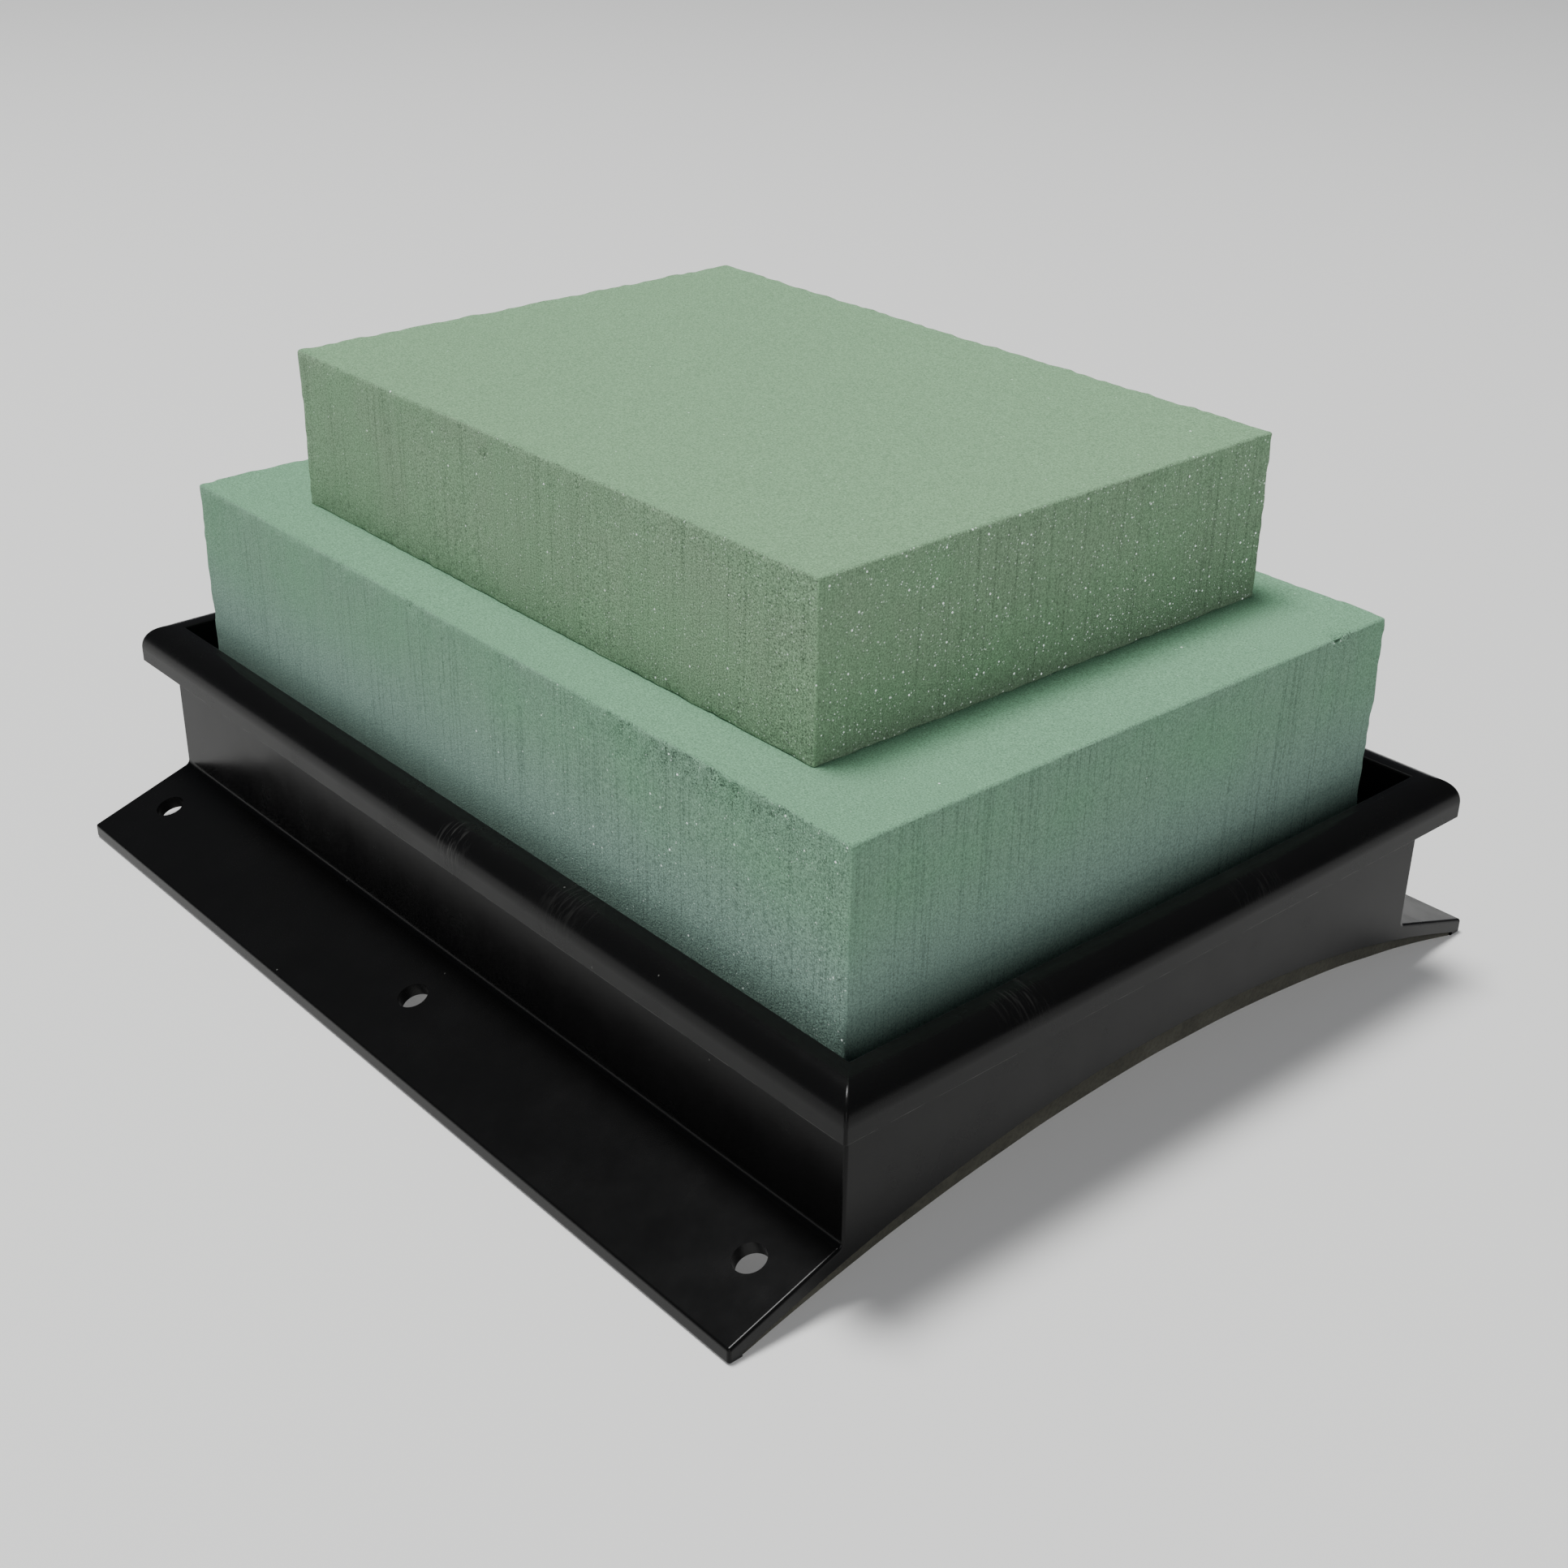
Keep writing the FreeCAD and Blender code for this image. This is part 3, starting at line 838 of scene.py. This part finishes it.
def pad_heights(y):
    """Underside and top of the pad at the distance y from the middle.

    The top follows the arch less the film. The underside is a flatter circle that meets the
    resting plane at the pad's long edges.
    """
    top = arch_height(y, ARCH_RADIUS - (FILM_TOP - PAD_HIGH.z))
    radius = (PAD_HIGH.y ** 2 + PAD_CROWN ** 2) / (2 * PAD_CROWN)
    return PAD_CROWN - radius + np.sqrt(radius ** 2 - y ** 2), top


def rows_round(places, half_square, steps, low, high, coarse):
    """Grid rows from low to high: equal fine steps across each place's square, coarse steps between."""
    fine = [p + half_square * np.linspace(-1, 1, 2 * steps + 1) for p in places]
    edges = [low] + [e for f in fine for e in (f[0], f[-1])] + [high]
    gaps = [np.linspace(a, b, max(2, round((b - a) / coarse)))[1:-1] for a, b in zip(edges[::2], edges[1::2])]
    rows = np.concatenate([*fine, *gaps, [low, high]])
    return np.sort(rows)


class FOAM_SADDLE_OT_pad(bpy.types.Operator):
    """Lay the foam pad under the arch, with a hole under each tie hole, and finish its adhesive"""
    bl_idname = "foam_saddle.pad"
    bl_label = "Saddle pad and adhesive"

    def execute(self, context):
        look = context.scene.foam_saddle_pad
        holes_x, holes_y = self.hole_places()
        # Round each hole, a square of the grid has this many fine steps from its middle to its side,
        # and the cells within the first few of them are left out
        square, steps, left_out, coarse = 14 * MM, 8, 5, 5 * MM
        x_rows = rows_round(holes_x, square, steps, PAD_LOW.x, PAD_HIGH.x, coarse)
        y_rows = rows_round(holes_y, square, steps, PAD_LOW.y, PAD_HIGH.y, coarse)
        grid = np.stack(np.meshgrid(x_rows, y_rows, indexing="ij"), axis=-1)
        cell_middle = (grid[:-1, :-1] + grid[1:, 1:]) / 2
        solid = np.ones(cell_middle.shape[:2], bool)
        inner = square * left_out / steps
        for x in holes_x:
            for y in holes_y:
                solid &= np.abs(cell_middle - (x, y)).max(axis=-1) > inner
                grid = self.rounded_square(grid, np.array((x, y)), inner, square, look.hole_radius)
        points, faces = self.two_sided(grid, solid)
        pad = mesh_piece("foam_saddle_pad", points, faces, closed_cell_foam(look), ["saddle_pad"])
        rounding = pad.modifiers.new("cut edge", "BEVEL")
        rounding.width = look.edge_radius
        rounding.segments = 2
        rounding.limit_method = "ANGLE"
        rounding.angle_limit = math.radians(50)
        adhesive = acrylic_adhesive(look)
        for holder in frame["nodes"]["pad_adhesive_sheet"].material_slots:
            holder.material = adhesive
        return {"FINISHED"}

    def hole_places(self):
        """Rows of the six holes: where each tie hole's slanted axis meets the middle of the pad."""
        bores = [m for m in frame["record"]["mounts"] if m["kind"] == "bore"]
        places = np.array([m["pos_m"] for m in bores])
        axes = np.array([m["axis"] for m in bores])
        under, top = pad_heights(places[:, 1])
        drop = (places[:, 2] - (under + top) / 2) / axes[:, 2]
        places = (places - axes * drop[:, None]).round(4)
        return np.unique(places[:, 0]), np.unique(places[:, 1])

    def rounded_square(self, grid, centre, inner, outer, radius):
        """Bend the grid round a hole: the inner square becomes a circle, and the outer one stays."""
        tiny = 1e-9
        offset = grid - centre
        reach = np.abs(offset).max(axis=-1, keepdims=True)
        distance = np.maximum(np.linalg.norm(offset, axis=-1, keepdims=True), tiny)
        circle = centre + offset / distance * radius * reach / inner
        blend = smooth_step(reach, inner, outer)
        return np.where(reach < outer, circle * (1 - blend) + grid * blend, grid)

    def two_sided(self, grid, solid):
        """A closed sheet over the solid cells of a grid: top, underside and a wall along every border.

        The underside has a slow unevenness that fades out where the pad rests.
        """
        unevenness = 0.2 * MM
        y = grid[..., 1]
        under, top = pad_heights(y)
        upper = np.dstack([grid, top])
        lower = np.dstack([grid, under])
        fade = smooth_step(under, 0, PAD_CROWN / 2)
        lower[..., 2] += unevenness * fade * noise(lower, 14 * MM, PAD_SEED)
        points = np.concatenate([upper.reshape(-1, 3), lower.reshape(-1, 3)])
        index = np.arange(y.size).reshape(y.shape)
        a, b, c, d = index[:-1, :-1], index[1:, :-1], index[1:, 1:], index[:-1, 1:]
        quads = np.stack([a, b, c, d], axis=-1)[solid]
        faces = np.concatenate([quads, quads[:, ::-1] + y.size])
        # A side of a quad lies on a border if no other quad has it the other way round
        ends, nexts = quads.reshape(-1), np.roll(quads, -1, axis=1).reshape(-1)
        border = ~np.isin(nexts * y.size + ends, ends * y.size + nexts)
        p, q = ends[border], nexts[border]
        walls = np.column_stack([q, p, p + y.size, q + y.size])
        used, faces = np.unique(np.concatenate([faces, walls]), return_inverse=True)
        return points[used], faces.reshape(-1, 4).tolist()


def squashed_bead(start, end, width, low, high, seed):
    """A bead of hot glue pressed flat between two surfaces.

    It is a closed tube along X: its section is a flattened superellipse, whose width swells and
    wanders along the bead and closes to nothing at both ends.
    """
    along, around, sway_reach = 120, 20, 0.6 * MM
    blunt_ends, blunt_sides, flat_faces = 24, 0.7, 0.35
    t = np.linspace(0, 1, along)
    angle = np.linspace(0, 2 * np.pi, around, endpoint=False)
    line = np.column_stack([start[0] + t * (end[0] - start[0]), np.full(along, start[1]), np.zeros(along)])
    taper = np.sqrt(np.clip(1 - np.abs(2 * t - 1) ** blunt_ends, 0, 1))
    half = width / 2 * taper * (0.86 + 0.14 * noise(line, 9 * MM, seed))
    sway = sway_reach * noise(line, 30 * MM, seed + 1)
    cos, sin = np.cos(angle), np.sin(angle)
    across = np.sign(cos) * np.abs(cos) ** blunt_sides
    rise = np.sign(sin) * np.abs(sin) ** flat_faces
    points = np.empty((along, around, 3))
    points[..., 0] = line[:, :1]
    points[..., 1] = line[:, 1:2] + sway[:, None] + half[:, None] * across
    points[..., 2] = (low + high) / 2 + (high - low) / 2 * rise * np.minimum(1, taper * 1.5)[:, None]
    return points


def bead_group(name, low, high, count, pitch, material, node, seed):
    """Several parallel beads as one piece."""
    width = high.y - low.y - (count - 1) * pitch
    middle = (low.y + high.y) / 2
    points, faces = [], []
    for i in range(count):
        y = middle + (i - (count - 1) / 2) * pitch
        bead = squashed_bead((low.x, y), (high.x, y), width, low.z, high.z, seed + 2 * i)
        offset = sum(p.size // 3 for p in points)
        quads = ring_faces(*bead.shape[:2])
        points.append(bead)
        faces += [[v + offset for v in face] for face in quads]
    merged = np.concatenate([p.reshape(-1, 3) for p in points])
    return mesh_piece(name, merged, faces, material, [node])


class FOAM_SADDLE_OT_glue(bpy.types.Operator):
    """Press the hot-glue beads between tray and block and between the blocks"""
    bl_idname = "foam_saddle.glue"
    bl_label = "Glue beads"

    def execute(self, context):
        glue = hot_melt_glue(context.scene.foam_saddle_pad)
        bead_group(
            "pressed_tray_beads", TRAY_BEADS_LOW, TRAY_BEADS_HIGH, 4, TRAY_BEAD_PITCH, glue,
            "tray_glue_beads", TRAY_BEAD_SEED)
        bead_group(
            "pressed_block_beads", BLOCK_BEADS_LOW, BLOCK_BEADS_HIGH, 3, BLOCK_BEAD_PITCH, glue,
            "block_glue_beads", BLOCK_BEAD_SEED)
        return {"FINISHED"}


STEPS = (
    FOAM_SADDLE_OT_stage,
    FOAM_SADDLE_OT_tray,
    FOAM_SADDLE_OT_pad,
    FOAM_SADDLE_OT_glue,
    FOAM_SADDLE_OT_lower_block,
    FOAM_SADDLE_OT_upper_block,
)


class FOAM_SADDLE_PT_steps(bpy.types.Panel):
    """Lists the steps that build the saddle"""
    bl_label = "Foam Saddle"
    bl_idname = "FOAM_SADDLE_PT_steps"
    bl_space_type = "VIEW_3D"
    bl_region_type = "UI"
    bl_category = "Foam Saddle"

    def draw(self, context):
        for step in STEPS:
            self.layout.operator(step.bl_idname)


LOOKS = {
    "foam_saddle_foam": FoamBlockLook,
    "foam_saddle_tray": TrayLook,
    "foam_saddle_pad": PadLook,
    "foam_saddle_stage": StageLook,
}


def register():
    """Add the looks, the steps and the panel to Blender."""
    for look in LOOKS.values():
        bpy.utils.register_class(look)
    for step in (*STEPS, FOAM_SADDLE_PT_steps):
        bpy.utils.register_class(step)
    for name, look in LOOKS.items():
        setattr(bpy.types.Scene, name, PointerProperty(type=look))


def unregister():
    """Take them out again."""
    for name in LOOKS:
        delattr(bpy.types.Scene, name)
    for step in reversed((*STEPS, FOAM_SADDLE_PT_steps)):
        bpy.utils.unregister_class(step)
    for look in LOOKS.values():
        bpy.utils.unregister_class(look)


def main():
    """Run every step."""
    register()
    for step in STEPS:
        group, name = step.bl_idname.split(".")
        getattr(getattr(bpy.ops, group), name)()


if __name__ == "__main__":
    main()
